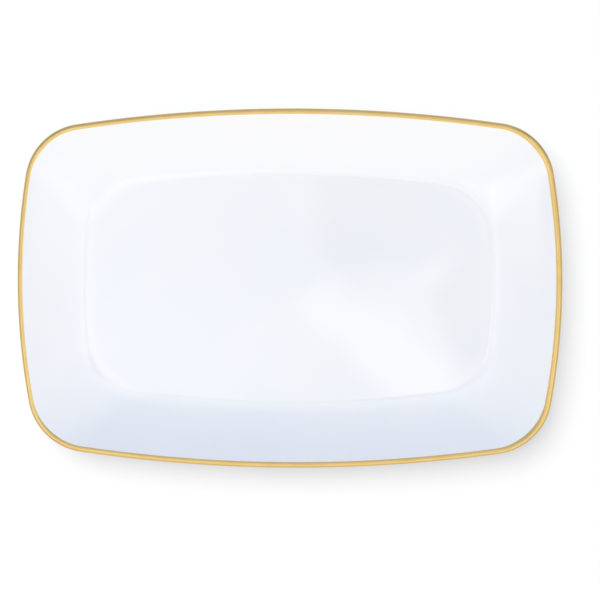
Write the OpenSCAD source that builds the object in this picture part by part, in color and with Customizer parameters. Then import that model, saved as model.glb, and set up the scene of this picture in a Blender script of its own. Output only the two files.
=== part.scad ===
// Rectangular china serving platter with bowed sides, rounded corners, a flat well, a flared wall
// and a gold lip. Millimetres. X runs along the platter, Y across it and Z up. The origin is on the
// table, under the centre.
//
// In plan every edge is an eight-arc outline: two long sides, two short sides and four corners, each
// one arc. In section the platter is one sheet: the flat floor, a wall that thins as it rises, and a
// fully rounded lip. Depths are measured into the sheet, square to its upper face.

/* [Outline] */
// Overall length, along X
length = 356; // [344:1:372]
// Overall width, along Y
width = 235; // [228:1:244]
// Overall height, from the table to the top of the lip
height = 25; // [22:0.5:30]
// Radius of the bowed long sides
long_side_r = 966; // [900:1:1100]
// Radius of the bowed short sides
short_side_r = 443; // [420:1:500]
// Radius of the corners
corner_r = 40; // [36:1:44]

/* [Well] */
// Length of the flat well
well_length = 266; // [258:1:274]
// Width of the flat well
well_width = 148; // [140:1:154]
// Radius of the well's long sides
well_long_r = 800; // [700:1:1000]
// Radius of the well's short sides
well_short_r = 400; // [360:1:500]
// Radius of the well's corners
well_corner_r = 38; // [34:1:42]

/* [Section] */
// Thickness of the floor, glaze included
floor_sheet = 5; // [4:0.1:6]
// Thickness of the wall at the lip, glaze included
lip_sheet = 4.8; // [4:0.1:5.4]
// Slope of the wall where it meets the lip, in degrees
lip_slope = 30; // [28:1:36]
// How far out of the flat well the wall turns up the fastest
verge_turn = 2.6; // [2:0.1:4]

/* [Foot] */
// Height of the underside of the floor above the table
foot_height = 3.2; // [2.6:0.1:4]
// Width of the foot ring, glaze included
foot_width = 5; // [4:0.5:6]
// Distance from the edge of the well in to the foot ring's outer side
foot_inset = 3; // [2:0.5:6]
// Height of the unglazed edge that stands on the table
bare_edge = 0.8; // [0.5:0.1:1.2]

/* [Coats] */
// Thickness of the glaze
glaze = 0.3; // [0.2:0.05:0.4]
// Where the gold ends on the outside of the lip, in degrees from straight up
gold_end = 110; // [95:1:120]

/* [Facets] */
// Segments in half a long side
long_steps = 5; // [4:1:6]
// Segments in a corner
corner_steps = 8; // [6:1:10]
// Segments in half a short side
short_steps = 4; // [3:1:5]
// Segments from the inner edge of the gold to the crest of the lip
crest_steps = 2; // [2:1:4]
// Segments from the crest of the lip to its outermost edge
edge_steps = 5; // [3:1:6]
// Segments from the gold to the underside of the wall
under_lip_steps = 2; // [2:1:3]

/* [Hidden] */

// Rounded lip: a full round of the sheet's own thickness there
lip_r = lip_sheet / 2;
lip_edge = lip_r * (1 + sin(lip_slope));
under_lip = 180 - lip_slope;

// Wall: its mean run in plan, from the well to the lip, and the heights at its two ends
wall_run = ((length - well_length) + (width - well_width)) / 4 - lip_edge;
floor_z = foot_height + floor_sheet;
lip_z = height - lip_r;
wall_rise = lip_z + lip_r * cos(lip_slope) - floor_z;

// At a distance x from the well the wall's slope is wall_slope * verge(x) + curl * x / wall_run: it turns
// up softly at the verge, then curls up evenly. The two factors make it rise by wall_rise and end at lip_slope.
half_run = wall_run / 2;
wall_slope = (wall_rise - tan(lip_slope) * half_run) / (verge_sum(wall_run) - verge(wall_run) * half_run);
curl = tan(lip_slope) - wall_slope * verge(wall_run);

// Stations from the edge of the well, 0, to the inner edge of the lip, 1, closest where the wall turns
STATIONS = [0, 0.035, 0.07, 0.115, 0.18, 0.28, 0.42, 0.58, 0.74, 0.88, 1];

// Stations round the lip, in degrees from straight up: over the gold, then under it
GOLD_ANGLES = concat(
    steps_between(-lip_slope, 0, crest_steps),
    steps_between(0, 90, edge_steps),
    [90, gold_end]
);
UNDER_ANGLES = concat(steps_between(gold_end, under_lip, under_lip_steps), [under_lip]);

PORCELAIN = [0.94, 0.94, 0.92];
GLAZE = [0.93, 0.95, 0.98];
GOLD = [0.86, 0.70, 0.36];

// ---- Lists ----

// Even steps from a towards b, the last one left out
function steps_between(a, b, steps) = [for (i = [0 : steps - 1]) a + (b - a) * i / steps];

function reversed(list) = [for (i = [len(list) - 1 : -1 : 0]) list[i]];
function all_but_first(list) = [for (i = [1 : len(list) - 1]) list[i]];
function all_but_last(list) = [for (i = [0 : len(list) - 2]) list[i]];

// ---- Outlines ----

// Centre of a corner arc that lies inside both bowed sides and touches them
function corner_centre(a, b, r_long, r_short, r_corner) =
    let (
        from = [0, b - r_long],
        to = [a - r_short, 0],
        gap = norm(to - from),
        along = (to - from) / gap,
        reach_long = r_long - r_corner,
        reach_short = r_short - r_corner,
        x = (reach_long ^ 2 - reach_short ^ 2 + gap ^ 2) / (2 * gap)
    )
    from + x * along + sqrt(reach_long ^ 2 - x ^ 2) * [along.y, -along.x];

// Points of an arc as [point, outward normal], from angle a0 towards a1, the last one left out
function arc_points(centre, r, a0, a1, steps) = [
    for (angle = steps_between(a0, a1, steps))
        let (normal = [cos(angle), sin(angle)])
        [centre + r * normal, normal]
];

// Quarter of an outline, from the middle of the +X side to the middle of the +Y side
function quarter(a, b, r_long, r_short, r_corner) =
    let (
        long_centre = [0, b - r_long],
        short_centre = [a - r_short, 0],
        centre = corner_centre(a, b, r_long, r_short, r_corner),
        at_short = atan2(centre.y - short_centre.y, centre.x - short_centre.x),
        at_long = atan2(centre.y - long_centre.y, centre.x - long_centre.x)
    )
    concat(
        arc_points(short_centre, r_short, 0, at_short, short_steps),
        arc_points(centre, r_corner, at_short, at_long, corner_steps),
        arc_points(long_centre, r_long, at_long, 90, long_steps),
        [[[0, b], [0, 1]]]
    );

// A point and its normal, mirrored to the signs sx and sy
function mirrored(p, sx, sy) = [[p[0].x * sx, p[0].y * sy], [p[1].x * sx, p[1].y * sy]];

// The whole outline, anticlockwise from the middle of the +X side
function outline(a, b, r_long, r_short, r_corner) =
    let (q = quarter(a, b, r_long, r_short, r_corner), n = len(q) - 1)
    concat(
        all_but_last(q),
        [for (i = [n : -1 : 1]) mirrored(q[i], -1, 1)],
        [for (i = [0 : n - 1]) mirrored(q[i], -1, -1)],
        [for (i = [n : -1 : 1]) mirrored(q[i], 1, -1)]
    );

RIM = outline(length / 2, width / 2, long_side_r, short_side_r, corner_r);
WELL = outline(well_length / 2, well_width / 2, well_long_r, well_short_r, well_corner_r);
AROUND = len(RIM);

// Plan of the well's outline moved inwards
function well_inset(inset) = [for (p = WELL) p[0] - inset * p[1]];

// ---- Rings of the sheet ----

// Share of the wall's slope that is reached at a distance x from the well, and the sum of that share up to x
function verge(x) = 1 - (1 + x / verge_turn) * exp(-x / verge_turn);
function verge_sum(x) = x - 2 * verge_turn + (x + 2 * verge_turn) * exp(-x / verge_turn);

// Height of the upper face at station u, and its slope in degrees
function wall_z(u) = floor_z + wall_slope * verge_sum(u * wall_run) + curl * half_run * u ^ 2;
function wall_angle(u) = atan(wall_slope * verge(u * wall_run) + curl * u);

// Ring at station u of the wall and at a depth in the sheet
function wall_ring(u, depth) =
    let (out = depth * sin(wall_angle(u)), z = wall_z(u) - depth * cos(wall_angle(u)))
    [
        for (i = [0 : AROUND - 1])
            let (
                well = WELL[i][0],
                lip = RIM[i][0] - lip_edge * RIM[i][1],
                normal = (1 - u) * WELL[i][1] + u * RIM[i][1],
                plan = well + u * (lip - well) + out * normal / norm(normal)
            )
            [plan.x, plan.y, z]
    ];

// Ring on the rounded lip, at an angle from straight up and a depth below its finished face
function lip_ring(angle, depth) =
    let (out = (lip_r - depth) * sin(angle) - lip_r, z = lip_z + (lip_r - depth) * cos(angle))
    [for (p = RIM) let (plan = p[0] + out * p[1]) [plan.x, plan.y, z]];

// Ring on the foot, at an inset from the edge of the well
function foot_ring_at(inset, z) = [for (p = well_inset(inset)) [p.x, p.y, z]];

// Depth of the lower face at station u, less a coat on it
function lower_depth(u, coat) = (1 - u) * floor_sheet + u * lip_sheet - coat;

// Runs of rings at a depth below the finished face, in order: up the upper face, over the gold,
// under the gold, and down the lower face
function up_wall(depth) = [for (u = STATIONS) wall_ring(u, depth)];
function over_gold(depth) = [for (angle = GOLD_ANGLES) lip_ring(angle, depth)];
function under_gold(depth) = [for (angle = UNDER_ANGLES) lip_ring(angle, depth)];
function down_wall(depth) = [for (u = reversed(STATIONS)) wall_ring(u, lower_depth(u, depth))];

// ---- Solids from rings ----

// Two triangles between neighbouring points of the rings a and b, split along the shorter diagonal,
// so that two solids which share a face split it alike
function band(points, a, b) = [
    for (i = [0 : AROUND - 1])
        let (
            j = (i + 1) % AROUND,
            p = a * AROUND + i,
            q = b * AROUND + i,
            r = b * AROUND + j,
            s = a * AROUND + j
        )
        each norm(points[p] - points[r]) < norm(points[q] - points[s])
            ? [[p, r, q], [p, s, r]]
            : [[p, s, q], [q, s, r]]
];

// Solid whose skin runs through the rings from a point on the axis at z0 to one at z1
module disc_solid(rings, z0, z1) {
    last = len(rings) - 1;
    points = concat([for (ring = rings) each ring], [[0, 0, z0], [0, 0, z1]]);
    start = len(points) - 2;
    end = len(points) - 1;
    cap0 = [for (i = [0 : AROUND - 1]) [start, (i + 1) % AROUND, i]];
    cap1 = [for (i = [0 : AROUND - 1]) [end, last * AROUND + i, last * AROUND + (i + 1) % AROUND]];
    polyhedron(points, concat(cap0, [for (k = [0 : last - 1]) each band(points, k, k + 1)], cap1));
}

// Solid whose skin runs through the rings and back to the first
module ring_solid(rings) {
    count = len(rings);
    points = [for (ring = rings) each ring];
    polyhedron(points, [for (k = [0 : count - 1]) each band(points, k, (k + 1) % count)]);
}

// Upright ring between two insets from the edge of the well
module upright_ring(outer_inset, inner_inset, z0, z1) {
    translate([0, 0, z0])
    linear_extrude(z1 - z0)
    difference() {
        polygon(well_inset(outer_inset));
        polygon(well_inset(inner_inset));
    }
}

// ---- Pieces ----

// Fired body: floor, wall and lip, under its coats
module porcelain_body() {
    color(PORCELAIN)
    disc_solid(
        concat(
            up_wall(glaze),
            all_but_first(over_gold(glaze)),
            all_but_last(all_but_first(under_gold(glaze))),
            down_wall(glaze)
        ),
        floor_z - glaze,
        foot_height + glaze
    );
}

// Foot ring under the edge of the well, bare where it stands on the table
module foot_ring() {
    color(PORCELAIN)
    upright_ring(foot_inset + glaze, foot_inset + foot_width - glaze, 0, foot_height + glaze);
}

// Glaze over the well and the wall, up to the gold
module upper_glaze() {
    color(GLAZE)
    disc_solid(concat(up_wall(0), reversed(up_wall(glaze))), floor_z, floor_z - glaze);
}

// Glaze from the gold down the outside and the foot ring's outer side
module underside_glaze() {
    color(GLAZE)
    ring_solid(
        concat(
            all_but_last(under_gold(0)),
            down_wall(0),
            [
                foot_ring_at(foot_inset, foot_height),
                foot_ring_at(foot_inset, bare_edge),
                foot_ring_at(foot_inset + glaze, bare_edge),
                foot_ring_at(foot_inset + glaze, foot_height + glaze)
            ],
            reversed(down_wall(glaze)),
            all_but_first(reversed(under_gold(glaze)))
        )
    );
}

// Glaze on the base inside the foot ring and on the ring's inner side
module base_glaze() {
    inner = foot_inset + foot_width;
    color(GLAZE)
    union() {
        translate([0, 0, foot_height])
        linear_extrude(glaze)
        polygon(well_inset(inner - glaze));
        upright_ring(inner - glaze, inner, bare_edge, foot_height + glaze);
    }
}

// Gold over the rounded lip
module gold_lip_band() {
    color(GOLD)
    ring_solid(concat(over_gold(0), reversed(over_gold(glaze))));
}

porcelain_body();
foot_ring();
upper_glaze();
underside_glaze();
base_glaze();
gold_lip_band();
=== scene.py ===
"""China serving platter: smooth glazed, gilded and bare porcelain pieces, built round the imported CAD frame.

Every piece is a skin through rings. A ring follows an outline of eight arcs round the platter, and the order
of the rings follows the section: up the wall, round the lip, down the underside and over the foot. Metres.
"""

import math

import bpy
import numpy as np
from mathutils import Matrix, Vector


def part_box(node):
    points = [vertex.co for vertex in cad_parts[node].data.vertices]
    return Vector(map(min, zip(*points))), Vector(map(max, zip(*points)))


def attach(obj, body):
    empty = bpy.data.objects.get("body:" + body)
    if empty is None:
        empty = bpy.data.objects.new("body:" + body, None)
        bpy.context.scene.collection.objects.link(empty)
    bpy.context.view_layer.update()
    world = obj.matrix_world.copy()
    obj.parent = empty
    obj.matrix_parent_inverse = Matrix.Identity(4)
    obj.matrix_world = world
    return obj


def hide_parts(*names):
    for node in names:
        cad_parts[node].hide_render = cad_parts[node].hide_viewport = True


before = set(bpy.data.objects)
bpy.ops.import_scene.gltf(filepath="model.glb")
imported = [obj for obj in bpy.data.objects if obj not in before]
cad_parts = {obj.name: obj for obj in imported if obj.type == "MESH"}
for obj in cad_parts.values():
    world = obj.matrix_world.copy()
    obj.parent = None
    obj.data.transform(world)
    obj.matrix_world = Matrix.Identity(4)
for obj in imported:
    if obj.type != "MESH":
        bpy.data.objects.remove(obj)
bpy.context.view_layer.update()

MM = 0.001

# ---------------------------------------------------------------- sizes

# Coats, foot, lip and the turn of the wall, as in the CAD model
GLAZE = 0.3 * MM
FOOT_INSET = 3.0 * MM
FOOT_WIDTH = 5.0 * MM
LIP_SLOPE = math.radians(30)
GOLD_END = math.radians(110)
VERGE_TURN = 2.6 * MM

# Heights and half sizes, read from the frame
_, gold_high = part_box("gold_lip_band")
upper_low, upper_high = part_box("upper_glaze")
_, foot_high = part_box("foot_ring")
base_low, base_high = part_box("base_glaze")

TOP = gold_high.z
FLOOR_Z = upper_low.z + GLAZE
BASE_Z = base_high.z - GLAZE
BARE_EDGE = base_low.z
FLOOR_SHEET = FLOOR_Z - BASE_Z
LIP_R = (gold_high.x - upper_high.x) / (1 + math.sin(LIP_SLOPE))
LIP_SHEET = 2 * LIP_R
WELL_HALF_LENGTH = foot_high.x + GLAZE + FOOT_INSET
WELL_HALF_WIDTH = foot_high.y + GLAZE + FOOT_INSET

# Outlines as half length, half width, and the radii of long sides, short sides and corners
RIM_ARCS = (gold_high.x, gold_high.y, 966 * MM, 443 * MM, 40 * MM)
WELL_ARCS = (WELL_HALF_LENGTH, WELL_HALF_WIDTH, 800 * MM, 400 * MM, 38 * MM)

# Steps round a quarter of an outline and along the section
LONG_STEPS, CORNER_STEPS, SHORT_STEPS = 20, 26, 14
WALL_STEPS = 44
FLOOR_STEPS = 9
FILLET_STEPS = 8
FOOT_EDGE_STEPS = 6
LIP_STEP = math.radians(6)

# ---------------------------------------------------------------- outlines


def corner_centre(a, b, r_long, r_short, r_corner):
    """Centre of a corner arc that lies inside both bowed sides and touches them."""
    start, end = np.array([0, b - r_long]), np.array([a - r_short, 0])
    gap = np.linalg.norm(end - start)
    along = (end - start) / gap
    reach_long, reach_short = r_long - r_corner, r_short - r_corner
    x = (reach_long**2 - reach_short**2 + gap**2) / (2 * gap)
    across = np.array([along[1], -along[0]])
    return start + x * along + math.sqrt(reach_long**2 - x**2) * across


def arc(centre, r, a0, a1, steps):
    """Points of an arc and their outward normals, the last one left out."""
    angles = np.linspace(a0, a1, steps, endpoint=False)
    normals = np.stack([np.cos(angles), np.sin(angles)], axis=1)
    return np.asarray(centre) + r * normals, normals


def outline(a, b, r_long, r_short, r_corner):
    """The whole outline, anticlockwise from the middle of the +X side: points and outward normals."""
    centre = corner_centre(a, b, r_long, r_short, r_corner)
    at_short = math.atan2(centre[1], centre[0] - (a - r_short))
    at_long = math.atan2(centre[1] - (b - r_long), centre[0])
    arcs = [
        arc((a - r_short, 0), r_short, 0, at_short, SHORT_STEPS),
        arc(centre, r_corner, at_short, at_long, CORNER_STEPS),
        arc((0, b - r_long), r_long, at_long, math.pi / 2, LONG_STEPS),
        (np.array([[0, b]]), np.array([[0.0, 1.0]])),
    ]
    quarter = [np.concatenate(part) for part in zip(*arcs)]
    mirrored = [part[:0:-1] * (-1, 1) for part in quarter]
    half = [np.concatenate([part[:-1], other]) for part, other in zip(quarter, mirrored)]
    return tuple(np.concatenate([part, -part]) for part in half)


RIM, RIM_NORMAL = outline(*RIM_ARCS)
WELL, WELL_NORMAL = outline(*WELL_ARCS)
AROUND = len(RIM)

# The point of the outlines, in a corner, where the section's length is measured
MEASURED_AT = AROUND // 8

# ---------------------------------------------------------------- the section

LIP_EDGE = LIP_R * (1 + math.sin(LIP_SLOPE))
UNDER_LIP = math.pi - LIP_SLOPE
LIP_Z = TOP - LIP_R
WALL_RUN = (RIM_ARCS[0] - WELL_ARCS[0] + RIM_ARCS[1] - WELL_ARCS[1]) / 2 - LIP_EDGE
WALL_RISE = LIP_Z + LIP_R * math.cos(LIP_SLOPE) - FLOOR_Z


def verge(x):
    """Share of the wall's slope that is reached at a distance x from the well."""
    return 1 - (1 + x / VERGE_TURN) * np.exp(-x / VERGE_TURN)


def verge_sum(x):
    """That share added up from the well to x."""
    return x - 2 * VERGE_TURN + (x + 2 * VERGE_TURN) * np.exp(-x / VERGE_TURN)


# At x from the well the wall's slope is WALL_SLOPE * verge(x) + CURL * x / WALL_RUN
HALF_RUN = WALL_RUN / 2
WALL_SLOPE = WALL_RISE - math.tan(LIP_SLOPE) * HALF_RUN
WALL_SLOPE /= verge_sum(WALL_RUN) - verge(WALL_RUN) * HALF_RUN
CURL = math.tan(LIP_SLOPE) - WALL_SLOPE * verge(WALL_RUN)


def wall_z(u):
    """Height of the wall's upper face at station u."""
    return FLOOR_Z + WALL_SLOPE * verge_sum(u * WALL_RUN) + CURL * HALF_RUN * u**2


def wall_angle(u):
    """Slope of that face at station u, as an angle."""
    return np.arctan(WALL_SLOPE * verge(u * WALL_RUN) + CURL * u)


# Stations from the edge of the well, 0, to the lip, 1, closest where the wall turns up. The last stretch of
# the upper face is left to the rings at the edge of the gold, which doesn't keep quite level with the lip.
CROWDING = 1.6
LAST_UPPER_STATION = 0.95
STATIONS = np.linspace(0, 1, WALL_STEPS + 1) ** CROWDING
UPPER_STATIONS = STATIONS[STATIONS < LAST_UPPER_STATION]

# The gold ends a little way down the wall: further down on one side and round the corners, and its edge
# wavers as a brush does. GOLD_EDGE is its distance past the top of the wall, one per point of the outline.
GOLD_DOWN_WALL = 0.38 * MM
GOLD_SHIFT = 0.4 * MM
GOLD_SHIFT_WAY = np.array([0.92, -0.39])
GOLD_AT_CORNERS = 0.35 * MM
WAVER = 0.03 * MM
WAVERS_AROUND = 17
EDGE_STEPS = 5

GOLD_EDGE = -GOLD_DOWN_WALL - GOLD_SHIFT * RIM_NORMAL @ GOLD_SHIFT_WAY
GOLD_EDGE -= GOLD_AT_CORNERS * (2 * RIM_NORMAL[:, 0] * RIM_NORMAL[:, 1]) ** 2
GOLD_EDGE += WAVER * np.sin(np.linspace(0, WAVERS_AROUND * 2 * math.pi, AROUND, endpoint=False))


def lifted(plan, z):
    """A ring from its plan and its height."""
    return np.column_stack([plan, np.broadcast_to(z, len(plan))])


def wall_ring(u, depth):
    """Ring at station u of the wall, at a depth square to its upper face. u may be one number per point."""
    u = np.broadcast_to(u, AROUND)[:, None]
    normal = (1 - u) * WELL_NORMAL + u * RIM_NORMAL
    normal /= np.linalg.norm(normal, axis=1)[:, None]
    lip = RIM - LIP_EDGE * RIM_NORMAL
    plan = WELL + u * (lip - WELL) + depth * np.sin(wall_angle(u)) * normal
    return lifted(plan, (wall_z(u) - depth * np.cos(wall_angle(u)))[:, 0])


def lip_ring(angle, depth):
    """Ring on the rounded lip, at an angle from straight up. angle may be one number per point."""
    angle = np.broadcast_to(angle, AROUND)
    out = (LIP_R - depth) * np.sin(angle) - LIP_R
    return lifted(RIM + out[:, None] * RIM_NORMAL, LIP_Z + (LIP_R - depth) * np.cos(angle))


def past_wall(reach, depth):
    """Ring at a distance past the top of the wall: round the lip, or back down the wall if negative."""
    on_wall = wall_ring(1 + np.minimum(reach, 0) / WALL_RUN, depth)
    on_lip = lip_ring(np.maximum(reach, 0) / LIP_R - LIP_SLOPE, depth)
    return np.where(np.broadcast_to(reach, AROUND)[:, None] < 0, on_wall, on_lip)


def foot_ring_at(inset, z):
    """Ring at an inset from the edge of the well."""
    return lifted(WELL - inset * WELL_NORMAL, z)


def floor_rings(plan_ring):
    """Rings between the axis and a flat ring, smallest first, without that ring."""
    shares = np.linspace(0, 1, FLOOR_STEPS + 1)[1:-1]
    return [plan_ring * (s, s, 1) for s in shares]


def up_wall(depth):
    """Up the upper face, from the edge of the well to the edge of the gold."""
    start = (UPPER_STATIONS[-1] - 1) * WALL_RUN
    steps = np.linspace(0, 1, EDGE_STEPS + 1)[1:]
    return [wall_ring(u, depth) for u in UPPER_STATIONS] + [
        past_wall(start + share * (GOLD_EDGE - start), depth) for share in steps
    ]


def over_gold(depth):
    """From the inner edge of the gold, over the crest of the lip, to its outer edge."""
    end = (GOLD_END + LIP_SLOPE) * LIP_R
    steps = np.linspace(0, 1, round((GOLD_END + LIP_SLOPE) / LIP_STEP) + 1)
    return [past_wall(GOLD_EDGE + share * (end - GOLD_EDGE), depth) for share in steps]


def under_gold(depth):
    """From the outer edge of the gold to the lower face of the wall."""
    steps = round((UNDER_LIP - GOLD_END) / LIP_STEP)
    return [lip_ring(a, depth) for a in np.linspace(GOLD_END, UNDER_LIP, steps + 1)]


def down_wall(coat):
    """Down the lower face, whose depth goes from the lip's sheet to the floor's, less a coat."""
    depths = FLOOR_SHEET + STATIONS * (LIP_SHEET - FLOOR_SHEET) - coat
    return [wall_ring(u, d) for u, d in zip(STATIONS, depths)][::-1]


# The foot ring in section, as inset and height: the glazed side from the base down to the bare edge
FOOT_FILLET = 1.0 * MM
FOOT_TAPER = 0.4 * MM
FOOT_FLAT = 2.2 * MM
COAT_END_R = 0.12 * MM
FOOT_MIDDLE = FOOT_INSET + FOOT_WIDTH / 2


def foot_side(coat):
    """The glazed side of the foot, less a coat: a fillet out of the base, then a tapered flank."""
    fillet = FOOT_FILLET + coat
    centre = (FOOT_INSET + coat - fillet, BASE_Z + coat - fillet)
    turns = np.linspace(math.pi / 2, 0, FILLET_STEPS + 1)
    curve = [(centre[0] + fillet * math.cos(t), centre[1] + fillet * math.sin(t)) for t in turns]
    return curve + [(FOOT_INSET + FOOT_TAPER + coat, BARE_EDGE + (0 if coat else COAT_END_R))]


def inner_side(path):
    """The same path on the inner side of the foot."""
    return [(2 * FOOT_MIDDLE - inset, z) for inset, z in path]


def foot_rings(path):
    """Rings through a path in the section of the foot."""
    return [foot_ring_at(inset, z) for inset, z in path]


# ---------------------------------------------------------------- meshes


SHARP_ANGLE = math.radians(35)


def skin(name, rings, poles=None):
    """A closed mesh through the rings: a tube closed on itself, or a disc between poles at two heights."""
    count = len(rings)
    verts = [tuple(p) for ring in rings for p in ring]
    faces = []
    uvs = []
    lengths = np.linalg.norm(np.roll(RIM, -1, axis=0) - RIM, axis=1)
    around = np.concatenate([[0], np.cumsum(lengths)])
    section = np.array([ring[MEASURED_AT] for ring in rings])
    steps = np.linalg.norm(np.roll(section, -1, axis=0) - section, axis=1)
    along = np.concatenate([[0], np.cumsum(steps)])
    for k in range(count if poles is None else count - 1):
        a, b = k * AROUND, (k + 1) % count * AROUND
        for i in range(AROUND):
            j = (i + 1) % AROUND
            faces.append((a + i, b + i, b + j, a + j))
            uvs += [
                (around[i], along[k]),
                (around[i], along[k + 1]),
                (around[i + 1], along[k + 1]),
                (around[i + 1], along[k]),
            ]
    if poles is not None:
        verts += [(0, 0, poles[0]), (0, 0, poles[1])]
        for pole, ring, v in ((count * AROUND, 0, along[0]), (count * AROUND + 1, count - 1, along[-2])):
            for i in range(AROUND):
                j = (i + 1) % AROUND
                pair = (ring * AROUND + j, ring * AROUND + i)
                faces.append((pole, *(pair[::-1] if ring == 0 else pair)))
                uvs += [(around[i], v), (around[i], v), (around[i + 1], v)]
    mesh = bpy.data.meshes.new(name)
    mesh.from_pydata(verts, [], faces)
    layer = mesh.uv_layers.new(name="Section")
    layer.data.foreach_set("uv", np.array(uvs, np.float32).ravel())
    mesh.validate()
    mesh.shade_smooth()
    mesh.set_sharp_from_angle(angle=SHARP_ANGLE)
    piece = bpy.data.objects.new(name, mesh)
    bpy.context.scene.collection.objects.link(piece)
    return piece


def outward(piece):
    """Turns the faces outwards if the mesh's volume comes out negative."""
    mesh = piece.data
    mesh.calc_loop_triangles()
    co = np.array([v.co for v in mesh.vertices])
    tri = np.array([t.vertices for t in mesh.loop_triangles])
    a, b, c = co[tri[:, 0]], co[tri[:, 1]], co[tri[:, 2]]
    if np.einsum("ij,ij->i", a, np.cross(b, c)).sum() < 0:
        mesh.flip_normals()
    return piece


# ---------------------------------------------------------------- materials

# Where the section coordinate reaches the edge of the well
WELL_ALONG = np.linalg.norm(WELL[MEASURED_AT]) * (1 - 1 / FLOOR_STEPS)

# Painted highlight at the foot of the wall: a whiter band mixed into the glaze's colour, standing in for the
# bright line that the glossy turn of the wall catches. As pairs for the -X and the +X end: its middle along
# the section, how wide it is to either side, and the share of white that it adds. Between the ends only a
# trace of it is left.
VERGE_HIGHLIGHT_ENDS = (-0.1, 0.1)
VERGE_HIGHLIGHT_MIDDLE = (WELL_ALONG + 2.8 * MM, WELL_ALONG - 1.5 * MM)
VERGE_HIGHLIGHT_WIDTH = (4.5 * MM, 3.3 * MM)
VERGE_HIGHLIGHT_SHARE = (0.6, 0.28)
VERGE_HIGHLIGHT_FADE = (0.085, 0.125)
VERGE_HIGHLIGHT_TRACE = 0.12

# Colours. A pair holds the two ends of a slow unevenness, or a clean colour and its stain.
GLAZE_COLOURS = (0.900, 0.916, 0.930), (0.920, 0.931, 0.940)
# Painted highlight: the white that the band at the foot of the wall mixes into the glaze
VERGE_HIGHLIGHT_WHITE = (1.0, 0.995, 0.99)
GOLD_COLOURS = (0.63, 0.45, 0.17), (0.66, 0.485, 0.20)
FIRED_COLOURS = (0.86, 0.86, 0.83), (0.80, 0.80, 0.77)
BARE_COLOURS = (0.80, 0.79, 0.74), (0.62, 0.61, 0.57)

# How deep the bumps go
UPPER_RIPPLE = 0.02 * MM
UNDER_RIPPLE = 0.035 * MM
PEEL = 0.0012 * MM
GOLD_STREAKS = 0.004 * MM
BARE_GRAIN = 0.02 * MM


class Nodes:
    """A material's or world's node tree with short calls for what the pieces share."""

    def __init__(self, owner):
        owner.use_nodes = True
        self.tree = owner.node_tree
        self.tree.nodes.clear()

    def add(self, kind, inputs=None, **settings):
        """A new node with its settings. Each input is a value or a socket to link to."""
        node = self.tree.nodes.new("ShaderNode" + kind)
        for key, value in settings.items():
            setattr(node, key, value)
        for key, value in (inputs or {}).items():
            if isinstance(value, bpy.types.NodeSocket):
                self.tree.links.new(value, node.inputs[key])
            else:
                node.inputs[key].default_value = value
        return node

    def math(self, operation, a, b=0.0, c=0.0):
        """Result of a Math node on numbers or sockets."""
        node = self.add("Math", operation=operation)
        for socket, value in zip(node.inputs, (a, b, c)):
            if isinstance(value, bpy.types.NodeSocket):
                self.tree.links.new(value, socket)
            else:
                socket.default_value = value
        return node.outputs[0]

    def noise(self, vector, scale, detail=2.0, roughness=0.5):
        """Value of a noise texture."""
        inputs = {"Vector": vector, "Scale": scale, "Detail": detail, "Roughness": roughness}
        return self.add("TexNoise", inputs).outputs["Fac"]

    def span(self, value, low, high, to_low, to_high):
        """value's stretch from low to high, mapped smoothly onto to_low to to_high."""
        inputs = {"Value": value, 1: low, 2: high, 3: to_low, 4: to_high}
        return self.add("MapRange", inputs, interpolation_type="SMOOTHSTEP").outputs[0]

    def mix(self, share, a, b):
        """The colour at a share of the way from a to b."""
        node = self.add("Mix", {"Factor": share}, data_type="RGBA")
        for key, value in (("A", a), ("B", b)):
            socket = [s for s in node.inputs if s.name == key and s.type == "RGBA"][0]
            if isinstance(value, bpy.types.NodeSocket):
                self.tree.links.new(value, socket)
            else:
                socket.default_value = (*value, 1)
        return [s for s in node.outputs if s.type == "RGBA"][0]

    def glow(self, room, share, colour):
        """Adds a colour times a share to the room's colour. The colour may be negative."""
        scaled = self.add("VectorMath", {0: colour, "Scale": share}, operation="SCALE").outputs["Vector"]
        return self.add("VectorMath", {0: room, 1: scaled}, operation="ADD").outputs["Vector"]

    def bump(self, height, distance, below=None):
        """Normal bent by a height, on top of the one below if that is given."""
        inputs = {"Height": height, "Distance": distance, "Strength": 1.0}
        if below is not None:
            inputs["Normal"] = below
        return self.add("Bump", inputs).outputs["Normal"]

    def surface(self, **inputs):
        """The material's surface. An underscore in an input's name stands for a space."""
        shader = self.add("BsdfPrincipled", {k.replace("_", " "): v for k, v in inputs.items()})
        self.add("OutputMaterial", {"Surface": shader.outputs[0]})


def painted_verge_highlight(n, at):
    """Share of white that the painted highlight at the foot of the wall adds to the upper glaze's colour."""
    uv = n.add("UVMap", uv_map="Section").outputs["UV"]
    along = n.add("SeparateXYZ", {"Vector": uv}).outputs["Y"]
    x = n.add("SeparateXYZ", {"Vector": at}).outputs["X"]
    past = n.math("SUBTRACT", along, n.span(x, *VERGE_HIGHLIGHT_ENDS, *VERGE_HIGHLIGHT_MIDDLE))
    near = n.math("DIVIDE", past, n.span(x, *VERGE_HIGHLIGHT_ENDS, *VERGE_HIGHLIGHT_WIDTH))
    near = n.math("EXPONENT", n.math("MULTIPLY", n.math("MULTIPLY", near, near), -1))
    ends = n.span(n.math("ABSOLUTE", x), *VERGE_HIGHLIGHT_FADE, VERGE_HIGHLIGHT_TRACE, 1)
    return n.math("MULTIPLY", near, n.math("MULTIPLY", ends, n.span(x, *VERGE_HIGHLIGHT_ENDS, *VERGE_HIGHLIGHT_SHARE)))


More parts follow.
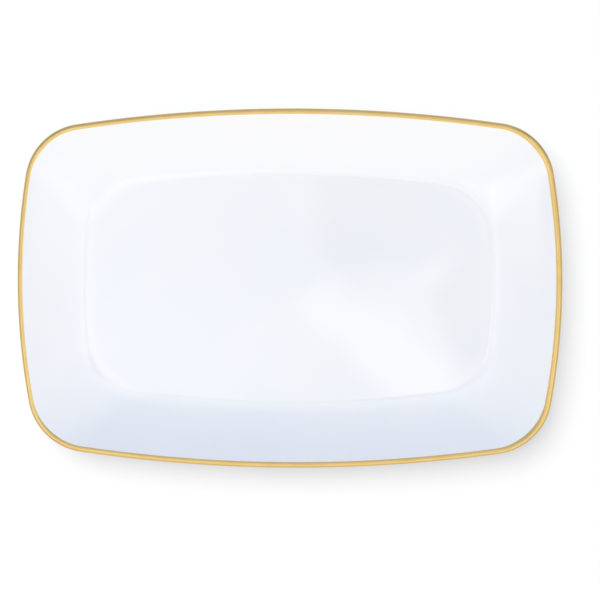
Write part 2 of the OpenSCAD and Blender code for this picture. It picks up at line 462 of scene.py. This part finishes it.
def glaze_material(name, ripple, verge_highlight=False):
    """Clear white glaze: glossy, faintly blue, with a slow unevenness and a fine orange peel, and on request
    a painted highlight at the foot of the wall.
    """
    material = bpy.data.materials.new(name)
    n = Nodes(material)
    at = n.add("TexCoord").outputs["Object"]
    slow = n.noise(at, scale=14, detail=3)
    peel = n.noise(at, scale=900, detail=2)
    drift = n.noise(at, scale=45, detail=2)
    colour = n.mix(n.span(slow, 0.3, 0.7, 0, 1), *GLAZE_COLOURS)
    if verge_highlight:
        # Painted highlight: a whiter band along the foot of the wall, in the glaze's colour
        colour = n.mix(painted_verge_highlight(n, at), colour, VERGE_HIGHLIGHT_WHITE)
    normal = n.bump(drift, ripple)
    normal = n.bump(peel, PEEL, normal)
    roughness = n.span(n.noise(at, scale=60, detail=4), 0.25, 0.75, 0.03, 0.055)
    n.surface(Base_Color=colour, Roughness=roughness, Normal=normal, IOR=1.5)
    return material


def gold_material():
    """Burnished gold: streaks of the banding brush along the lip, and faint patchy rubbing over the band."""
    material = bpy.data.materials.new("burnished_gold")
    n = Nodes(material)
    uv = n.add("UVMap", uv_map="Section").outputs["UV"]
    along = n.add("Mapping", {"Vector": uv, "Scale": (60, 4200, 1)}).outputs["Vector"]
    streak = n.noise(along, scale=1.0, detail=3)
    at = n.add("TexCoord").outputs["Object"]
    cloud = n.noise(at, scale=90, detail=3)
    colour = n.mix(n.span(cloud, 0.3, 0.7, 0, 1), *GOLD_COLOURS)
    rough = n.math("ADD", n.span(streak, 0.3, 0.7, 0.28, 0.36), n.span(cloud, 0.35, 0.75, 0, 0.06))
    normal = n.bump(streak, GOLD_STREAKS)
    n.surface(Base_Color=colour, Metallic=1.0, Roughness=rough, Normal=normal)
    return material


def porcelain_material(name, colour, stain):
    """Unglazed porcelain: matte, finely grained, with a trace of grey where it has stood on shelves."""
    material = bpy.data.materials.new(name)
    n = Nodes(material)
    at = n.add("TexCoord").outputs["Object"]
    grain = n.noise(at, scale=2600, detail=3)
    smudge = n.noise(at, scale=120, detail=4, roughness=0.6)
    tone = n.mix(n.span(smudge, 0.5, 0.8, 0, 1), colour, stain)
    tone = n.mix(n.span(grain, 0.55, 0.8, 0, 0.5), tone, tuple(0.9 * c for c in stain))
    normal = n.bump(grain, BARE_GRAIN)
    n.surface(Base_Color=tone, Roughness=n.span(grain, 0.3, 0.7, 0.62, 0.8), Normal=normal)
    return material


# ---------------------------------------------------------------- pieces


def place(piece, node, material):
    """Gives a piece its material, turns its faces outwards, ties it to the frame's root body and hides the
    CAD node that it replaces.
    """
    piece.data.materials.append(material)
    outward(piece)
    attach(piece, "root")
    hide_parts(node)


def porcelain_body(material):
    """Fired body: floor, wall and lip, under its coats."""
    top, bottom = up_wall(GLAZE), down_wall(GLAZE)
    lip = over_gold(GLAZE)[1:] + under_gold(GLAZE)[1:-1]
    rings = floor_rings(top[0]) + top + lip + bottom + floor_rings(bottom[-1])[::-1]
    piece = skin("fired_body", rings, (FLOOR_Z - GLAZE, BASE_Z + GLAZE))
    place(piece, "porcelain_body", material)


def upper_glaze(material):
    """Glaze over the well and the wall, up to the gold."""
    face, back = up_wall(0), up_wall(GLAZE)[::-1]
    rings = floor_rings(face[0]) + face + back + floor_rings(back[-1])[::-1]
    piece = skin("upper_glaze_coat", rings, (FLOOR_Z, FLOOR_Z - GLAZE))
    place(piece, "upper_glaze", material)


def underside_glaze(material):
    """Glaze from under the gold down the outside and the outer side of the foot."""
    face = under_gold(0)[:-1] + down_wall(0)
    back = under_gold(GLAZE)[:-1] + down_wall(GLAZE)
    rings = face + foot_rings(foot_side(0)) + foot_rings(foot_side(GLAZE))[::-1] + back[::-1]
    place(skin("underside_glaze_coat", rings), "underside_glaze", material)


def base_glaze(material):
    """Glaze on the base inside the foot ring, and on the ring's inner side."""
    face = foot_rings(inner_side(foot_side(0)))
    back = foot_rings(inner_side(foot_side(GLAZE)))
    rings = floor_rings(face[0]) + face + back[::-1] + floor_rings(back[0])[::-1]
    piece = skin("base_glaze_coat", rings, (BASE_Z, BASE_Z + GLAZE))
    place(piece, "base_glaze", material)


def foot_ring(material):
    """Foot ring: glazed sides and a rounded bare edge that stands on the table."""
    side = foot_side(GLAZE)
    edge_inset, edge_z = side[-1]
    flat_inset = FOOT_MIDDLE - FOOT_FLAT / 2
    turns = np.linspace(0, math.pi / 2, FOOT_EDGE_STEPS + 1)[1:]
    edge = [
        (flat_inset - (flat_inset - edge_inset) * math.cos(t), edge_z * (1 - math.sin(t)))
        for t in turns
    ]
    half = side + edge
    rings = foot_rings(half) + foot_rings(inner_side(half))[::-1]
    place(skin("foot", rings), "foot_ring", material)


def gold_lip(material):
    """Gold over the rounded lip."""
    piece = skin("gold_lip", over_gold(0) + over_gold(GLAZE)[::-1])
    place(piece, "gold_lip_band", material)
    return piece


# ---------------------------------------------------------------- stage, light and camera


# The room's light as seen from the platter: an even part, which turns into the bluer back wall along
# BACK_RANGE of a direction's Y. Below LOW_BELOW of its Z it dims, by the share LOW_DIMMING at the horizon.
EVEN_LIGHT = (1.055, 1.018, 0.98)
BACK_WALL = (0.37, 0.47, 0.695)
BACK_RANGE = (-0.17, 0.83)
LOW_BELOW = 0.45
LOW_DIMMING = 0.45

# Soft lights, and shades where negative: tilt to +X and to +Y, width (degrees), and colour
SOFT_LIGHTS = [
    (0, 14, 32, (0.59, 0.63, 0.69)),
    (-16, 5, 12, (0.70, 0.70, 0.70)),
    (16, -6, 18, (0.50, 0.50, 0.50)),
    (30, -19, 28, (0.60, 0.59, 0.58)),
    (-33, 38, 24, (-0.28, -0.13, -0.05)),
    (33, 38, 24, (-0.12, -0.06, -0.02)),
    (-3.5, -3.5, 18, (-0.90, -0.93, -0.98)),
]

# Banks of light: ranges of x and y as tangents of the tilt, soft edge, and colour. A direction with a Z below
# LEAST_Z counts as one at it, so that the tangents stay finite.
LEAST_Z = 0.2
BANKS = [
    ((-0.35, -0.04), (-0.42, -0.05), 0.055, (0.88, 0.89, 0.91)),
    ((-0.98, -0.30), (-0.44, -0.118), 0.045, (1.15, 1.10, 1.00)),
    ((0.35, 0.90), (-0.40, -0.118), 0.045, (0.50, 0.48, 0.44)),
]

# Overhead, with places and sizes as tangents too: a dark patch with a darker strip hanging from it, and a
# bright window, slanted and wider at its near end. WANDER is how far their edges stray.
WANDER = 0.05
DARK_PATCH = 1.05
PATCH_X, PATCH_Y, PATCH_EDGE = (-0.012, 0.16), (-0.036, 0.08), 0.010
STRIP_X, STRIP_Y, STRIP_EDGE = (0.087, 0.16), (-0.14, -0.02), 0.006
STRIP_SHARE = 1.35
WINDOW_LIGHT = (1.35, 1.25, 1.16)
WINDOW_MIDDLE = (0.043, -0.113)
WINDOW_TURN = math.radians(-45)
WINDOW_ALONG, WINDOW_ACROSS, WINDOW_EDGE = (-0.082, 0.07), (-0.025, 0.026), 0.010
WINDOW_FLARE = 3

# Soft far lamps: azimuth, elevation and spread (degrees), strength and colour. The first one gives the floor
# its shadow, and the others light only the gold.
FLOOR_LAMP = (-142, 58, 52, 9.0, (1, 1, 1))
GOLD_FRONT_LAMP = (0, 35, 55, 0.25, (1, 0.87, 0.68))
GOLD_BACK_LAMP = (180, 32, 50, 0.30, (1, 0.78, 0.5))

FLOOR_GLOW = 0.503
FLOOR_COLOUR = (0.15, 0.15, 0.15, 1)


def floor():
    """Plain white floor: much of its white is its own glow, so the platter's shadow stays pale."""
    half = 20.0
    mesh = bpy.data.meshes.new("floor")
    corners = [(-half, -half, 0), (half, -half, 0), (half, half, 0), (-half, half, 0)]
    mesh.from_pydata(corners, [], [(0, 1, 2, 3)])
    material = bpy.data.materials.new("white_floor")
    n = Nodes(material)
    n.surface(
        Base_Color=FLOOR_COLOUR,
        Roughness=1.0,
        Specular_IOR_Level=0.0,
        Emission_Color=(1, 1, 1, 1),
        Emission_Strength=FLOOR_GLOW,
    )
    mesh.materials.append(material)
    plane = bpy.data.objects.new("floor", mesh)
    bpy.context.scene.collection.objects.link(plane)
    return plane


def sun(name, lamp, lit):
    """Soft far lamp at a compass azimuth (0 is -Y, 90 is +X) that reaches only the objects in lit."""
    azimuth, elevation, spread, strength, colour = lamp
    light = bpy.data.lights.new(name, "SUN")
    light.energy = strength
    light.color = colour
    light.angle = math.radians(spread)
    placed = bpy.data.objects.new(name, light)
    bpy.context.scene.collection.objects.link(placed)
    az, el = math.radians(azimuth), math.radians(elevation)
    away = Vector((math.sin(az) * math.cos(el), -math.cos(az) * math.cos(el), math.sin(el)))
    placed.rotation_euler = away.to_track_quat("Z", "Y").to_euler()
    reach = bpy.data.collections.new(name)
    for o in lit:
        reach.objects.link(o)
    placed.light_linking.receiver_collection = reach


def soft_lobe(n, way, tilt_x, tilt_y, width):
    """1 at the tilt towards +X and +Y, and half of that at half the width away. All in degrees."""
    middle = Vector((math.tan(math.radians(tilt_x)), math.tan(math.radians(tilt_y)), 1)).normalized()
    near = n.add("VectorMath", {0: way, 1: tuple(middle)}, operation="DOT_PRODUCT").outputs["Value"]
    sharpness = math.log(2) / (1 - math.cos(math.radians(width / 2)))
    return n.math("EXPONENT", n.math("MULTIPLY_ADD", near, sharpness, -sharpness))


def soft_box(n, x, y, x_range, y_range, edge):
    """1 inside a box of two coordinates and 0 outside, with soft edges."""
    sides = [(x, x_range[0], 0), (x, x_range[1], 1), (y, y_range[0], 0), (y, y_range[1], 1)]
    inside = 1.0
    for value, limit, above in sides:
        step = n.span(value, limit - edge, limit + edge, above, 1 - above)
        inside = n.math("MULTIPLY", step, inside)
    return inside


def overhead(n, way, x, y):
    """Shares of the dark patch with its strip, and of the window, all with uneven edges."""
    noise = n.add("TexNoise", {"Vector": way, "Scale": 22, "Detail": 3}).outputs["Color"]
    stray = n.add("SeparateXYZ", {"Vector": noise}).outputs
    x = n.math("MULTIPLY_ADD", stray["X"], WANDER, n.math("SUBTRACT", x, WANDER / 2))
    y = n.math("MULTIPLY_ADD", stray["Y"], WANDER, n.math("SUBTRACT", y, WANDER / 2))
    patch = soft_box(n, x, y, PATCH_X, PATCH_Y, PATCH_EDGE)
    strip = n.math("MULTIPLY", soft_box(n, x, y, STRIP_X, STRIP_Y, STRIP_EDGE), STRIP_SHARE)
    cos, sin = math.cos(WINDOW_TURN), math.sin(WINDOW_TURN)
    dx = n.math("SUBTRACT", x, WINDOW_MIDDLE[0])
    dy = n.math("SUBTRACT", y, WINDOW_MIDDLE[1])
    along = n.math("MULTIPLY_ADD", dx, cos, n.math("MULTIPLY", dy, sin))
    across = n.math("MULTIPLY_ADD", dy, cos, n.math("MULTIPLY", dx, -sin))
    across = n.math("DIVIDE", across, n.math("MULTIPLY_ADD", along, WINDOW_FLARE, 1))
    window = soft_box(n, along, across, WINDOW_ALONG, WINDOW_ACROSS, WINDOW_EDGE)
    return n.math("MAXIMUM", patch, strip), window


def studio(plane, gold):
    """The room's light, behind a plain white that only the camera sees, and the lamps."""
    world = bpy.data.worlds.new("studio")
    bpy.context.scene.world = world
    n = Nodes(world)
    way = n.add("TexCoord").outputs["Generated"]
    parts = n.add("SeparateXYZ", {"Vector": way}).outputs
    room = n.mix(n.span(parts["Y"], *BACK_RANGE, 0, 1), EVEN_LIGHT, BACK_WALL)
    room = n.mix(n.span(parts["Z"], 0, LOW_BELOW, LOW_DIMMING, 0), room, (0, 0, 0))
    for tilt_x, tilt_y, width, colour in SOFT_LIGHTS:
        room = n.glow(room, soft_lobe(n, way, tilt_x, tilt_y, width), colour)
    up = n.math("MAXIMUM", parts["Z"], LEAST_Z)
    x, y = n.math("DIVIDE", parts["X"], up), n.math("DIVIDE", parts["Y"], up)
    for x_range, y_range, edge, colour in BANKS:
        room = n.glow(room, soft_box(n, x, y, x_range, y_range, edge), colour)
    dark, window = overhead(n, way, x, y)
    room = n.glow(room, dark, (-DARK_PATCH,) * 3)
    room = n.glow(room, window, WINDOW_LIGHT)
    seen = n.add("LightPath").outputs["Is Camera Ray"]
    light = n.add("Background", {"Color": room, "Strength": 1.0})
    white = n.add("Background", {"Color": (1, 1, 1, 1), "Strength": 1.0})
    shown = n.add("MixShader", {0: seen, 1: light.outputs[0], 2: white.outputs[0]})
    n.add("OutputWorld", {"Surface": shown.outputs[0]})
    sun("floor_lamp", FLOOR_LAMP, [plane])
    sun("gold_front_lamp", GOLD_FRONT_LAMP, [gold])
    sun("gold_back_lamp", GOLD_BACK_LAMP, [gold])


def camera():
    """Looks almost straight down from a little towards +X and +Y, with the platter off the middle."""
    lens = bpy.data.cameras.new("camera")
    view = bpy.data.objects.new("camera", lens)
    bpy.context.scene.collection.objects.link(view)
    distance, seen_width = 0.816, 0.391
    lens.sensor_width = 36
    lens.lens = lens.sensor_width * distance / seen_width
    lens.clip_start, lens.clip_end = 0.01, 100
    aim = Vector((0.0077, -0.0066, TOP))
    lean_x, lean_y = math.radians(1.7), math.radians(3.75)
    away = Vector((math.tan(lean_x), math.tan(lean_y), 1)).normalized()
    across = Vector((0, 1, 0)).cross(away).normalized()
    turned = Matrix((across, away.cross(across), away)).transposed()
    view.matrix_world = Matrix.LocRotScale(aim + distance * away, turned.to_quaternion(), None)
    bpy.context.scene.camera = view


# ---------------------------------------------------------------- build

porcelain_body(porcelain_material("fired_porcelain", *FIRED_COLOURS))
# The upper glaze carries the painted highlight at the foot of the wall
upper_glaze(glaze_material("upper_glaze", UPPER_RIPPLE, verge_highlight=True))
underside_glaze(glaze_material("underside_glaze", UNDER_RIPPLE))
base_glaze(glaze_material("base_glaze", UNDER_RIPPLE))
foot_ring(porcelain_material("bare_porcelain", *BARE_COLOURS))
gold = gold_lip(gold_material())
studio(floor(), gold)
camera()

scene = bpy.context.scene
scene.view_settings.view_transform = "Standard"
scene.view_settings.look = "None"
